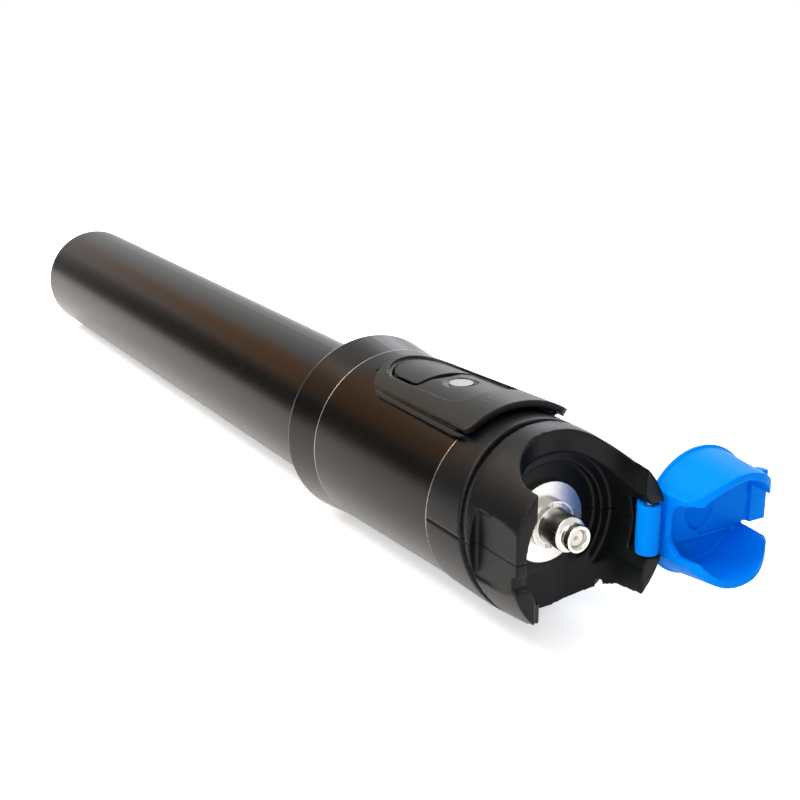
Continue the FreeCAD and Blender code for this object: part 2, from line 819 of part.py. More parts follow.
def make_cap():
    """The moulded dust cap, drawn shut and then swung open about its pin."""
    body = new_body("dust_cap")
    turned(body, "cap_shell", [
        ("-cap_face", "0"),
        ("-cap_face", "cap_face_radius"),
        ("-cap_rim", "cap_rim_radius"),
        ("-cap_step", "cap_rim_radius"),
        ("-cap_step", "cap_skirt_radius"),
        ("petal_end", "cap_end_radius"),
        ("petal_end", "cap_end_radius - cap_wall"),
        ("-cap_floor", "cap_floor_radius"),
        ("-cap_floor", "0"),
    ])
    bar = start_sketch(body, "bar_plan", "XY_Plane")
    draw_outline(bar, rectangle("-bar_reach", "-cap_floor - strap_wall / 2", "bar_reach", "-bar_front"))
    raised(body, bar, "bar", "2 * bar_half", midplane=True)
    well = start_sketch(body, "well_plan", "XZ_Plane", "bar_front")
    draw_circle(well, "0", "0", "well_radius")
    sunk(body, well, "well", "well_depth", up=True)
    trim_petals(body)
    add_tab(body)
    add_knuckle(body)
    body.Placement = Placement(Vector(0, 0, 0), Rotation(Vector(0, 0, 1), 180))
    bind(body, "Placement.Base.x", "2 * hinge_side")
    bind(body, "Placement.Base.y", "-2 * hinge_front")


def trim_petals(body):
    """Round the ends of the two petals, and part them on both sides."""
    trim = start_sketch(body, "petal_plan", "XY_Plane")
    side = "(cap_rim_radius + 1)"
    draw_outline(trim, [
        (f"-{side}", "-cap_step"),
        ("-petal_half", "-cap_step"),
        ("-petal_half", "petal_end - petal_round"),
        ("petal_round - petal_half", "petal_end", "-petal_round"),
        ("petal_half - petal_round", "petal_end"),
        ("petal_half", "petal_end - petal_round", "-petal_round"),
        ("petal_half", "-cap_step"),
        (side, "-cap_step"),
        (side, "petal_end + 1"),
        (f"-{side}", "petal_end + 1"),
    ])
    sunk(body, trim, "petal_trim", midplane=True)
    flat = start_sketch(body, "hinge_flat_plan", "XY_Plane")
    draw_outline(flat, rectangle(
        "hinge_wall_outer", f"-cap_face - {BEYOND}", side, f"petal_end + {BEYOND}"))
    sunk(body, flat, "hinge_flat", "2 * hinge_wall_half", midplane=True)
    wall = start_sketch(body, "hinge_wall_plan", "XY_Plane")
    draw_outline(wall, rectangle(
        "hinge_wall_inner", "-cap_floor - strap_wall / 2", "hinge_wall_outer", "-hinge_gap_front"))
    raised(body, wall, "hinge_wall", "2 * hinge_wall_half", midplane=True)
    near = start_sketch(body, "hinge_gap_plan", "YZ_Plane")
    draw_outline(near, rectangle(
        "-hinge_gap_front", "-hinge_gap_half", "petal_end + 1", "hinge_gap_half"))
    sunk(body, near, "hinge_gap", side, up=True)
    far = start_sketch(body, "tab_gap_plan", "YZ_Plane")
    draw_outline(far, rectangle("-cap_step", "-tab_gap_half", "petal_end + 1", "tab_gap_half"))
    sunk(body, far, "tab_gap", side)


def add_tab(body):
    """Add the thumb tab that rests on the front of the far ear."""
    rest = "-(nose_reach + tab_clearance)"
    plan = start_sketch(body, "tab_plan", "XY_Plane")
    draw_outline(plan, [
        ("-tab_reach", rest),
        ("-tab_reach", "tab_slope - cap_face"),
        ("tab_slope - tab_reach", "-cap_face"),
        ("-bar_reach", "-cap_face"),
        ("-bar_reach", "strap_wall - cap_face"),
        ("-tab_inner", "strap_wall - cap_face"),
        ("-tab_inner", rest),
    ])
    raised(body, plan, "tab", "2 * tab_half", midplane=True)


def add_knuckle(body):
    """Add the hinge leaf and the knuckle, and bore the knuckle for its pin."""
    leaf = start_sketch(body, "leaf_plan", "XY_Plane")
    draw_outline(leaf, rectangle(
        "bar_reach", "strap_wall / 4 - cap_face", "hinge_side", "-hinge_front - pin_radius"))
    raised(body, leaf, "leaf", "2 * knuckle_half", midplane=True)
    roll = start_sketch(body, "knuckle_plan", "XY_Plane")
    draw_circle(roll, "hinge_side", "-hinge_front", "knuckle_radius")
    raised(body, roll, "knuckle", "2 * knuckle_half", midplane=True)
    bore = start_sketch(body, "knuckle_bore_plan", "XY_Plane")
    draw_circle(bore, "hinge_side", "-hinge_front", "pin_radius + pin_clearance")
    sunk(body, bore, "knuckle_bore", midplane=True)


def check_model():
    """Stop if anything in the document failed or holds no sound solid."""
    failed = [item.Name for item in doc.Objects
              if "Invalid" in item.State or "Error" in item.State]
    if failed:
        raise RuntimeError(f"failed objects: {failed}")
    for node in NODES:
        if node.Shape.isNull() or not node.Shape.isValid() or not node.Shape.Solids:
            raise RuntimeError(f"{node.Label} has no sound solid")


def write_parts():
    """Write each piece to its own STEP file."""
    os.makedirs("parts", exist_ok=True)
    for node in NODES:
        node.Shape.exportStep(f"parts/{node.Label}.step")
        count = len(node.Shape.Solids)
        print(f"{node.Label:20s} solids {count}  volume {node.Shape.Volume:9.2f}")


CELLS_START = f"({BARREL_END} + holder_depth + rivet_head_height + contact_spring_length)"
CELLS_END = f"({CELLS_START} + 2 * cell_length)"

fill_sheet()
make_nose_half("nose_upper_shell", 1)
make_nose_half("nose_lower_shell", -1)
make_barrel()
make_collar()
make_tube()
make_seal()
make_cell("front_cell", CELLS_START)
make_cell("rear_cell", f"({CELLS_START} + cell_length)")
make_spring("tail_spring", CELLS_END, f"{TUBE_END} - end_wall - {CELLS_END}", "tail_spring_radius", "tail_turns")
make_spring("contact_spring", f"({CELLS_START} - contact_spring_length)",
            "contact_spring_length", "contact_spring_radius", "contact_turns")
make_contact_holder()
make_contact_rivet()
make_port()
make_laser()
make_board()
make_pad()
make_controls()
make_pin()
make_cap()
doc.recompute()
check_model()
write_parts()
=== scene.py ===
import math

import bpy
from mathutils import Matrix, Vector


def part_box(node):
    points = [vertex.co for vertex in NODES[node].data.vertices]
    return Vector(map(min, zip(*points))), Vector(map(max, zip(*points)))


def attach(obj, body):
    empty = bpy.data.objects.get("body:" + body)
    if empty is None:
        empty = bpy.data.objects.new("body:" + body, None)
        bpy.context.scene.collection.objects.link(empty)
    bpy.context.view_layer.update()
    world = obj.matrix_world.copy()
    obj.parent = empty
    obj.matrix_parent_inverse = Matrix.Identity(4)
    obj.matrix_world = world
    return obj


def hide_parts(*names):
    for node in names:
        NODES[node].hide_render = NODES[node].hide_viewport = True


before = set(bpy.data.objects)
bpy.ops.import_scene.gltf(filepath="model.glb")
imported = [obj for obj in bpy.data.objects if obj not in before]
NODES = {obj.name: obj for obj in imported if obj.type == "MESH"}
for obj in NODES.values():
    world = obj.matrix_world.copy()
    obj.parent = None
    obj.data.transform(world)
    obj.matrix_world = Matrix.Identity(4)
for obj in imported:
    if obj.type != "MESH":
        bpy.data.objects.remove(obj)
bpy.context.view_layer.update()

# Visual fault locator: a black pen-shaped fibre tester with a blue dust cap.
# The origin is the mouth of its port, Y runs to the tail and Z rises through
# the switch pad. Named sizes are in millimetres, and named turns in degrees.

MM = 0.001

# Places in a corner of a box: along the pen, and up
ALONG = 1
UP = 2


def extent(node, axis):
    """A CAD node's two ends along an axis, in millimetres."""
    low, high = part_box(node)
    return round(low[axis] / MM, 3), round(high[axis] / MM, 3)


# Where the camera stands and which way it looks
CAMERA_PLACE = (-96.162, -118.826, 65.865)
CAMERA_RIGHT = (0.85871, -0.51246, 0.00160)
CAMERA_UP = (0.15433, 0.26159, 0.95276)
CAMERA_BACK = (-0.48867, -0.81790, 0.30372)
CAMERA_LENS = 61.47
SENSOR_WIDTH = 36.0

# The pen lies on the edge of its collar and on the end of its tube: each
# point's place along the pen and its height
COLLAR_REST = (51.0, -13.72)
TUBE_REST = (176.0, -12.1)
FLOOR_WIDTH = 1600.0

# Light of the room on the object, and what the floor adds to reach white
ROOM_LIGHT = 0.3
FLOOR_GLOW = 0.5

# The switch pad: its ends, and how far its top stands from the pen's axis
PAD_FRONT, PAD_REAR = extent("switch_pad", ALONG)
PAD_FRONT_TOP = extent("switch_pad", UP)[1]
PAD_REAR_TOP = 13.1

# The cone that follows the pad's top reaches past both of its ends
CONE_FRONT = 8.0
CONE_REAR = 46.0
CONE_SIDES = 240

# The recess round button and lamp. A box is given by its lowest and highest
# corner, and its rounds are the radii of its front and rear corners.
RECESS_DEEP = 0.5
RECESS_FILLER = ((-5.0, 20.0, 11.7), (5.0, 40.0, 15.0))
FILLER_ROUNDS = (2.5, 4.9)
RECESS_HOLLOW = ((-5.2, 19.0, 11.0), (5.2, 40.2, 15.0))
HOLLOW_ROUNDS = (2.6, 5.1)

# The plug that closes the pad's tail behind the recess, and how far it lies
# under the pad's top
TAIL_PLUG = ((-5.25, 37.8, 11.5), (5.25, 40.25, 15.0))
TAIL_PLUG_SUNK = 0.33

# The slot that the button sinks into, the button, and how far the button
# stands above the floor of the recess
BUTTON_SLOT = ((-4.7, 30.1, 11.3), (4.7, 39.7, 15.0))
SLOT_ROUNDS = (1.2, 4.6)
BUTTON_BOX = ((-4.42, 30.38, 12.1), (4.42, 39.42, 15.0))
BUTTON_ROUNDS = (1.0, 4.35)
BUTTON_PROUD = 0.14

# The round dish of the indicator lamp
DISH_PLACE = 26.2
DISH_RADIUS = 2.35
DISH_FLOOR = 12.7
DISH_CLEAR = 15.0

# The pad's sides, which step down to a thinner lower layer, and the groove
# at the foot of that step
LEDGE_TURN = 34.8
LEDGE_TOP = 13.15
LEDGE_WIDE = 3.0
LEDGE_FRONT = 11.0
LEDGE_REAR = 39.0
LEDGE_CLEAR = 16.0
GROOVE_WIDE = 0.26
GROOVE_DEEP = 0.35
GROOVE_REAR = 38.0

# The pad's rounded front corners, and how far their cutter stands past them
CORNER_TURN = 37.0
CORNER_OFFSET = 0.49
CORNER_ROUND = 2.5
CORNER_SPARE = 1.5
CORNER_LOW = 10.0
CORNER_HIGH = 18.0
OVERSHOOT = 1.0

# The filled corners of the gap beside the cap's hinge, and the pin that
# hollows them to a round bottom
GAP_FILLER = ((11.75, -5.4, -4.25), (12.75, -2.3, 4.25))
GAP_CENTRE = (12.25, -5.5, 0.0)
GAP_RADIUS = 3.6
GAP_LENGTH = 4.0

# The lower scallop of the nose: the whole cut, and one below it that squares
# the rear corner on the side away from the hinge
SCALLOP = ((-3.4, -12.0, -16.0), (8.12, 7.4, -4.0))
SCALLOP_ROUNDS = (0.5, 5.7)
SCALLOP_CORNER = ((-3.4, -12.0, -16.0), (3.0, 7.4, -6.5))
SCALLOP_CORNER_ROUNDS = (0.5, 1.4)

# Turned pieces, as rings: each one's place behind the mouth and its radius
ADAPTER_RINGS = [
    (6.4, 3.15),
    (5.2, 3.15),
    (5.2, 2.3),
    (1.75, 2.3),
    (1.6, 1.6),
    (1.3, 1.5),
    (1.05, 1.75),
    (0.0, 1.75),
    (0.0, 1.3),
    (0.35, 1.15),
    (2.65, 1.1),
    (2.65, 1.7),
    (6.4, 1.7),
]
STUB_RINGS = [
    (0.6, 0.28),
    (0.6, 1.06),
    (2.6, 1.06),
    (2.6, 0.28),
]

# The barrel's seam rings, a painted highlight: place and radius, then their width and depth
BARREL_FRONT = extent("barrel", ALONG)[0]
SEAMS = {"front_seam": (BARREL_FRONT, 12.24), "rear_seam": (43.95, 13.04)}
SEAM_WIDE = 0.14
SEAM_DEEP = 0.25

# Points nearer than MERGE are one point, and a point within TOUCH of a place
# is at it
MERGE = 0.001
TOUCH = 0.01

# Steps round a rounded corner, and sides of a pin
ROUND_STEPS = 12
PIN_SIDES = 64

# A Mix node's colour sockets have numbers and no names of their own
MIX_SHARE = 0
MIX_FIRST = 6
MIX_SECOND = 7
MIX_RESULT = 2


def linear(hex_colour, alpha=1.0):
    """Turn an sRGB hex colour into the linear values that shaders take."""
    channels = []
    for start in (1, 3, 5):
        value = int(hex_colour[start:start + 2], 16) / 255
        if value <= 0.04045:
            channels.append(value / 12.92)
        else:
            channels.append(((value + 0.055) / 1.055) ** 2.4)
    return (*channels, alpha)


def per_metre(size_mm):
    """Scale of a pattern whose parts have a size in millimetres."""
    return 1 / (size_mm * MM)


def add(tree, kind, inputs=None, **settings):
    """Add a shader node with its settings, and its values or links."""
    made = tree.nodes.new(kind)
    for name, value in settings.items():
        setattr(made, name, value)
    for name, value in (inputs or {}).items():
        if isinstance(value, bpy.types.NodeSocket):
            tree.links.new(value, made.inputs[name])
        else:
            made.inputs[name].default_value = value
    return made


def start_tree(owner):
    """Give a material or a world an empty tree of nodes."""
    owner.use_nodes = True
    owner.node_tree.nodes.clear()
    return owner.node_tree


def start_material(name):
    """Start a material and give its tree and its object coordinates."""
    material = bpy.data.materials.new(name)
    tree = start_tree(material)
    place = add(tree, "ShaderNodeTexCoord").outputs["Object"]
    return material, tree, place


def moulded_abs():
    """Black ABS from a spark-eroded mould: a satin speckle that breaks up its
    sheen. The real grain is finer, and is drawn coarse enough to show."""
    material, tree, place = start_material("moulded_black_abs")
    grain = add(tree, "ShaderNodeTexNoise", {
        "Vector": place, "Scale": per_metre(0.35), "Detail": 3.0}).outputs["Fac"]
    cloud = add(tree, "ShaderNodeTexNoise", {
        "Vector": place, "Scale": per_metre(9.0), "Detail": 2.0}).outputs["Fac"]
    bump = add(tree, "ShaderNodeBump", {
        "Height": grain, "Strength": 0.7, "Distance": 0.02 * MM}).outputs["Normal"]
    colour = add(tree, "ShaderNodeMix", {
        MIX_SHARE: cloud, MIX_FIRST: linear("#050708"), MIX_SECOND: linear("#0a0d0f")},
        data_type="RGBA").outputs[MIX_RESULT]
    rough = add(tree, "ShaderNodeMapRange", {
        "Value": grain, "To Min": 0.30, "To Max": 0.46}).outputs["Result"]
    shader = add(tree, "ShaderNodeBsdfPrincipled", {
        "Base Color": colour, "Roughness": rough, "Specular IOR Level": 0.16, "Normal": bump})
    add(tree, "ShaderNodeOutputMaterial", {"Surface": shader.outputs["BSDF"]})
    return material


def anodised_aluminium():
    """Black anodised aluminium, blasted before its bath: a satin sheen on a
    deep black. The grit is drawn coarser than it is, so that it shows."""
    material, tree, place = start_material("black_anodised_aluminium")
    grit = add(tree, "ShaderNodeTexNoise", {
        "Vector": place, "Scale": per_metre(0.16), "Detail": 1.0}).outputs["Fac"]
    cloud = add(tree, "ShaderNodeTexNoise", {
        "Vector": place, "Scale": per_metre(14.0), "Detail": 2.0}).outputs["Fac"]
    bump = add(tree, "ShaderNodeBump", {
        "Height": grit, "Strength": 0.4, "Distance": 0.002 * MM}).outputs["Normal"]
    colour = add(tree, "ShaderNodeMix", {
        MIX_SHARE: cloud, MIX_FIRST: linear("#040403"), MIX_SECOND: linear("#080705")},
        data_type="RGBA").outputs[MIX_RESULT]
    rough = add(tree, "ShaderNodeMapRange", {
        "Value": grit, "To Min": 0.24, "To Max": 0.34}).outputs["Result"]
    shader = add(tree, "ShaderNodeBsdfPrincipled", {
        "Base Color": colour, "Roughness": rough, "Specular IOR Level": 0.17, "Normal": bump})
    add(tree, "ShaderNodeOutputMaterial", {"Surface": shader.outputs["BSDF"]})
    return material


def soft_touch_paint():
    """Soft-touch paint sprayed on ABS: an even satin, whose speckle is drawn
    coarser than it is, so that it shows."""
    material, tree, place = start_material("soft_touch_painted_abs")
    grain = add(tree, "ShaderNodeTexNoise", {
        "Vector": place, "Scale": per_metre(0.3), "Detail": 2.0}).outputs["Fac"]
    bump = add(tree, "ShaderNodeBump", {
        "Height": grain, "Strength": 0.7, "Distance": 0.012 * MM}).outputs["Normal"]
    colour = add(tree, "ShaderNodeMix", {
        MIX_SHARE: grain, MIX_FIRST: linear("#0b0c0b"), MIX_SECOND: linear("#141513")},
        data_type="RGBA").outputs[MIX_RESULT]
    rough = add(tree, "ShaderNodeMapRange", {
        "Value": grain, "To Min": 0.34, "To Max": 0.46}).outputs["Result"]
    shader = add(tree, "ShaderNodeBsdfPrincipled", {
        "Base Color": colour, "Roughness": rough, "Specular IOR Level": 0.2, "Normal": bump})
    add(tree, "ShaderNodeOutputMaterial", {"Surface": shader.outputs["BSDF"]})
    return material


def polyethylene():
    """Blue low-density polyethylene, moulded: waxy, with light that glows
    through its thin edges."""
    material, tree, place = start_material("moulded_blue_polyethylene")
    cloud = add(tree, "ShaderNodeTexNoise", {
        "Vector": place, "Scale": per_metre(6.0), "Detail": 2.0}).outputs["Fac"]
    grain = add(tree, "ShaderNodeTexNoise", {
        "Vector": place, "Scale": per_metre(0.5), "Detail": 2.0}).outputs["Fac"]
    colour = add(tree, "ShaderNodeMix", {
        MIX_SHARE: cloud, MIX_FIRST: linear("#0078e6"), MIX_SECOND: linear("#0086ee")},
        data_type="RGBA").outputs[MIX_RESULT]
    rough = add(tree, "ShaderNodeMapRange", {
        "Value": grain, "To Min": 0.30, "To Max": 0.40}).outputs["Result"]
    bump = add(tree, "ShaderNodeBump", {
        "Height": grain, "Strength": 0.4, "Distance": 0.01 * MM}).outputs["Normal"]
    shader = add(tree, "ShaderNodeBsdfPrincipled", {
        "Base Color": colour, "Roughness": rough, "Subsurface Weight": 0.12,
        "Subsurface Radius": (0.05, 0.5, 1.0), "Subsurface Scale": 0.001,
        "Specular IOR Level": 0.015, "Normal": bump})
    add(tree, "ShaderNodeOutputMaterial", {"Surface": shader.outputs["BSDF"]})
    return material


def nickel_plate():
    """Bright nickel plated on turned brass: a soft mirror, with streaks that
    run along the port."""
    material, tree, place = start_material("nickel_plated_brass")
    stretched = add(tree, "ShaderNodeMapping", {
        "Vector": place, "Scale": (1.0, 0.12, 1.0)}).outputs["Vector"]
    streaks = add(tree, "ShaderNodeTexNoise", {
        "Vector": stretched, "Scale": per_metre(0.8), "Detail": 3.0}).outputs["Fac"]
    colour = add(tree, "ShaderNodeMix", {
        MIX_SHARE: streaks, MIX_FIRST: linear("#cdcac5"), MIX_SECOND: linear("#dedbd7")},
        data_type="RGBA").outputs[MIX_RESULT]
    rough = add(tree, "ShaderNodeMapRange", {
        "Value": streaks, "To Min": 0.22, "To Max": 0.3}).outputs["Result"]
    bump = add(tree, "ShaderNodeBump", {
        "Height": streaks, "Strength": 0.1, "Distance": 0.001 * MM}).outputs["Normal"]
    shader = add(tree, "ShaderNodeBsdfPrincipled", {
        "Base Color": colour, "Metallic": 1.0, "Roughness": rough, "Normal": bump})
    add(tree, "ShaderNodeOutputMaterial", {"Surface": shader.outputs["BSDF"]})
    return material


def even_finish(name, first, second, metallic, rough):
    """A finish of two near tones under a fine even grain, for small pieces
    and for those inside."""
    material, tree, place = start_material(name)
    grain = add(tree, "ShaderNodeTexNoise", {
        "Vector": place, "Scale": per_metre(0.4), "Detail": 2.0}).outputs["Fac"]
    colour = add(tree, "ShaderNodeMix", {
        MIX_SHARE: grain, MIX_FIRST: linear(first), MIX_SECOND: linear(second)},
        data_type="RGBA").outputs[MIX_RESULT]
    spread = add(tree, "ShaderNodeMapRange", {
        "Value": grain, "To Min": rough - 0.05, "To Max": rough + 0.05}).outputs["Result"]
    bump = add(tree, "ShaderNodeBump", {
        "Height": grain, "Strength": 0.4, "Distance": 0.01 * MM}).outputs["Normal"]
    shader = add(tree, "ShaderNodeBsdfPrincipled", {
        "Base Color": colour, "Metallic": metallic, "Roughness": spread, "Normal": bump})
    add(tree, "ShaderNodeOutputMaterial", {"Surface": shader.outputs["BSDF"]})
    return material


def dress(material, *names):
    """Give CAD nodes a material."""
    for name in names:
        mesh = NODES[name].data
        mesh.materials.clear()
        mesh.materials.append(material)


def dress_inside():
    """Finish the lamp's window and the pieces that the shells hide."""
    # Dull and dark, with hardly a highlight
    dress(even_finish("moulded_nitrile_rubber", "#141414", "#1c1c1c", metallic=0.0, rough=0.6),
          "tube_seal")
    # Grey and bright, as wire and pins come from the drawing die
    dress(even_finish("drawn_spring_steel", "#a9a9a6", "#bcbcb8", metallic=1.0, rough=0.25),
          "tail_spring", "contact_spring", "hinge_pin", "laser_diode")
    # Yellow and bright, fresh from the lathe
    dress(even_finish("turned_brass", "#b98f4c", "#caa05a", metallic=1.0, rough=0.25),
          "contact_rivet", "laser_housing")
    # Pale and glossy, and left opaque because the housing hides it
    dress(even_finish("polished_clear_glass", "#e4edf0", "#eef4f6", metallic=0.0, rough=0.1),
          "focus_lens")
    # Green lacquer with a soft gloss
    dress(even_finish("solder_masked_board", "#0f5a30", "#12693a", metallic=0.0, rough=0.35),
          "circuit_board")
    # Flat black, a little greyer than the shells
    dress(even_finish("moulded_epoxy", "#161616", "#1e1e1e", metallic=0.0, rough=0.5),
          "driver_chip", "tact_switch")
    # Milky grey, as the unlit lamp shows through it
    dress(even_finish("frosted_polycarbonate", "#70706d", "#858581", metallic=0.0, rough=0.35),
          "indicator_lens", "indicator_led")
    # Near black, with a waxy dullness
    dress(even_finish("moulded_black_nylon", "#161719", "#1d1e20", metallic=0.0, rough=0.5),
          "contact_holder", "switch_plunger")
    # Plain grey shrink film with a metal sheen from the can below
    dress(even_finish("shrunk_cell_sleeve", "#4b5157", "#565c63", metallic=0.6, rough=0.35),
          "front_cell", "rear_cell")


def set_camera():
    """Place the camera at the height and angle that show port, pad and cap."""
    camera = bpy.data.cameras.new("camera")
    camera.sensor_width = SENSOR_WIDTH
    camera.lens = CAMERA_LENS
    camera.clip_start = 0.01
    stand = bpy.data.objects.new("camera", camera)
    axes = Matrix((CAMERA_RIGHT, CAMERA_UP, CAMERA_BACK)).transposed().to_4x4()
    stand.matrix_world = Matrix.Translation(Vector(CAMERA_PLACE) * MM) @ axes
    bpy.context.scene.collection.objects.link(stand)
    bpy.context.scene.camera = stand


def lamp(name, place, aim, width, power, colour):
    """Hang a square soft lamp that faces a point."""
    light = bpy.data.lights.new(name, "AREA")
    light.shape = "SQUARE"
    light.size = width * MM
    light.energy = power
    light.color = linear(colour)[:3]
    hung = bpy.data.objects.new(name, light)
    hung.location = Vector(place) * MM
    way = Vector(aim) - Vector(place)
    hung.rotation_euler = way.to_track_quat("-Z", "Y").to_euler()
    bpy.context.scene.collection.objects.link(hung)


def shown(tree):
    """Give one for rays that the eye follows, straight, mirrored or bent."""
    path = add(tree, "ShaderNodeLightPath").outputs
    mirrored = add(tree, "ShaderNodeMath", {
        0: path["Is Camera Ray"], 1: path["Is Glossy Ray"]}, operation="MAXIMUM").outputs[0]
    return add(tree, "ShaderNodeMath", {
        0: mirrored, 1: path["Is Transmission Ray"]}, operation="MAXIMUM").outputs[0]


def set_world():
    """Light the room evenly, and show it white behind the object."""
    world = bpy.data.worlds.new("studio")
    bpy.context.scene.world = world
    tree = start_tree(world)
    room = add(tree, "ShaderNodeBackground", {"Color": linear("#ffffff"), "Strength": ROOM_LIGHT})
    backdrop = add(tree, "ShaderNodeBackground", {"Color": linear("#ffffff"), "Strength": 1.0})
    both = add(tree, "ShaderNodeMixShader", {
        0: shown(tree), 1: room.outputs["Background"], 2: backdrop.outputs["Background"]})
    add(tree, "ShaderNodeOutputWorld", {"Surface": both.outputs["Shader"]})


def floor_material():
    """Matt pale board, whose glow shows only to the rays that the eye follows."""
    material = bpy.data.materials.new("pale_floor")
    tree = start_tree(material)
    matt = add(tree, "ShaderNodeBsdfDiffuse", {"Color": linear("#f4f4f4")})
    glow = add(tree, "ShaderNodeEmission", {"Color": linear("#ffffff"), "Strength": FLOOR_GLOW})
    lit = add(tree, "ShaderNodeAddShader", {0: matt.outputs["BSDF"], 1: glow.outputs["Emission"]})
    both = add(tree, "ShaderNodeMixShader", {
        0: shown(tree), 1: matt.outputs["BSDF"], 2: lit.outputs["Shader"]})
    add(tree, "ShaderNodeOutputMaterial", {"Surface": both.outputs["Shader"]})
    return material


def set_floor():
    """Lay a plain pale floor under the collar and the end of the tube."""
    bpy.ops.object.select_all(action="DESELECT")
    bpy.ops.mesh.primitive_plane_add(size=FLOOR_WIDTH * MM)
    floor = bpy.context.object
    floor.name = "floor"
    run = Vector((0, TUBE_REST[0] - COLLAR_REST[0], TUBE_REST[1] - COLLAR_REST[1]))
    floor.rotation_euler = (Vector((0, 1, 0)).angle(run), 0, 0)
    floor.location = Vector((0, *COLLAR_REST)) * MM
    floor.data.materials.append(floor_material())


def card(name, place, width, height, colour, strength, turn=None):
    """Stand a card that the camera doesn't see, for the object to mirror. It
    faces the port unless it is given a turn."""
    bpy.ops.object.select_all(action="DESELECT")
    bpy.ops.mesh.primitive_plane_add(size=MM)
    made = bpy.context.object
    made.name = name
    made.scale = (width, height, 1)
    made.location = Vector(place) * MM
    made.rotation_euler = turn or (-Vector(place)).to_track_quat("Z", "Y").to_euler()
    made.visible_camera = False
    made.visible_shadow = False
    material = bpy.data.materials.new(name)
    tree = start_tree(material)
    glow = add(tree, "ShaderNodeEmission", {"Color": linear(colour), "Strength": strength})
    add(tree, "ShaderNodeOutputMaterial", {"Surface": glow.outputs["Emission"]})
    made.data.materials.append(material)


def take(piece):
    """Select one piece alone."""
    bpy.ops.object.select_all(action="DESELECT")
    piece.select_set(True)
    bpy.context.view_layer.objects.active = piece


def settle(piece):
    """Put a piece's place, turn and scale into its mesh."""
    take(piece)
    bpy.ops.object.transform_apply(location=True, rotation=True, scale=True)


def turn_about_pen(piece, turn):
    """Turn a piece about the long axis of the pen."""
    piece.rotation_euler = (0, turn, 0)
    settle(piece)


def start_edit(piece):
    """Take one piece alone into edit mode with all of it selected."""
    take(piece)
    bpy.ops.object.mode_set(mode="EDIT")
    bpy.ops.mesh.select_all(action="SELECT")


def apply_new(piece, kind, **settings):
    """Add a modifier to the piece at hand and apply it."""
    made = piece.modifiers.new(kind.lower(), kind)
    for name, value in settings.items():
        setattr(made, name, value)
    bpy.ops.object.modifier_apply(modifier=made.name)


def hand_over(piece, body, slot, material, *nodes):
    """Give a finished piece its body and finish, and hide the CAD nodes it stands for."""
    piece.data.materials.clear()
    piece.data.materials.append(material)
    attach(piece, body)
    if nodes:
        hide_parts(*nodes)


def merged_copy(name, node):
    """A node's mesh as a piece of its own, with its triangles joined up."""
    piece = bpy.data.objects.new(name, NODES[node].data.copy())
    bpy.context.scene.collection.objects.link(piece)
    start_edit(piece)
    bpy.ops.mesh.remove_doubles(threshold=MERGE * MM)
    bpy.ops.object.mode_set(mode="OBJECT")
    return piece


def mould(piece, skin, rounds, share):
    """Give a piece the soft edges and fillets that a mould leaves: a skin of
    small squares, smoothed in rounds and thinned to a share of its faces."""
    take(piece)
    apply_new(piece, "REMESH", mode="VOXEL", voxel_size=skin * MM)
    apply_new(piece, "SMOOTH", factor=0.5, iterations=rounds)
    apply_new(piece, "DECIMATE", ratio=share)
    bpy.ops.object.shade_smooth()
    return piece


def carve(piece, tool, way="DIFFERENCE"):
    """Cut a tool's shape out of a piece, add it or keep what both share, and
    put the tool away."""
    take(piece)
    apply_new(piece, "BOOLEAN", object=tool, operation=way, solver="EXACT")
    bpy.data.objects.remove(tool)


def block(low, high, turn=0.0):
    """A box between two corners, turned about the long axis of the pen."""
    bpy.ops.object.select_all(action="DESELECT")
    bpy.ops.mesh.primitive_cube_add(size=1)
    made = bpy.context.object
    made.scale = (Vector(high) - Vector(low)) * MM
    made.location = (Vector(high) + Vector(low)) * MM / 2
    settle(made)
    turn_about_pen(made, turn)
    return made


def select_upright(box, place, tall):
    """Select a box's upright edges at one place along the pen."""
    points = box.data.vertices
    for edge in box.data.edges:
        ends = [points[corner].co for corner in edge.vertices]
        upright = abs(ends[0].z - ends[1].z) > 0.5 * tall * MM
        here = all(abs(end.y - place * MM) < TOUCH * MM for end in ends)
        edge.select = upright and here


def rounded_block(low, high, front_round, rear_round):
    """A box whose upright corners are rounded, seen from above."""
    made = block(low, high)
    for place, radius in ((low[1], front_round), (high[1], rear_round)):
        start_edit(made)
        bpy.ops.mesh.select_all(action="DESELECT")
        bpy.ops.object.mode_set(mode="OBJECT")
        select_upright(made, place, high[2] - low[2])
        bpy.ops.object.mode_set(mode="EDIT")
        bpy.ops.mesh.select_mode(type="EDGE")
        bpy.ops.mesh.bevel(offset=radius * MM, segments=ROUND_STEPS, affect="EDGES")
        bpy.ops.object.mode_set(mode="OBJECT")
    return made


def pad_cone(sunk):
    """A cone about the pen's axis that lies an even depth under the pad's top."""
    slope = (PAD_REAR_TOP - PAD_FRONT_TOP) / (PAD_REAR - PAD_FRONT)
    front = PAD_FRONT_TOP - sunk + slope * (CONE_FRONT - PAD_FRONT)
    rear = PAD_FRONT_TOP - sunk + slope * (CONE_REAR - PAD_FRONT)
    bpy.ops.object.select_all(action="DESELECT")
    bpy.ops.mesh.primitive_cone_add(
        vertices=CONE_SIDES, radius1=front * MM, radius2=rear * MM,
        depth=(CONE_REAR - CONE_FRONT) * MM,
        location=(0, (CONE_FRONT + CONE_REAR) / 2 * MM, 0), rotation=(-math.pi / 2, 0, 0))
    made = bpy.context.object
    settle(made)
    return made


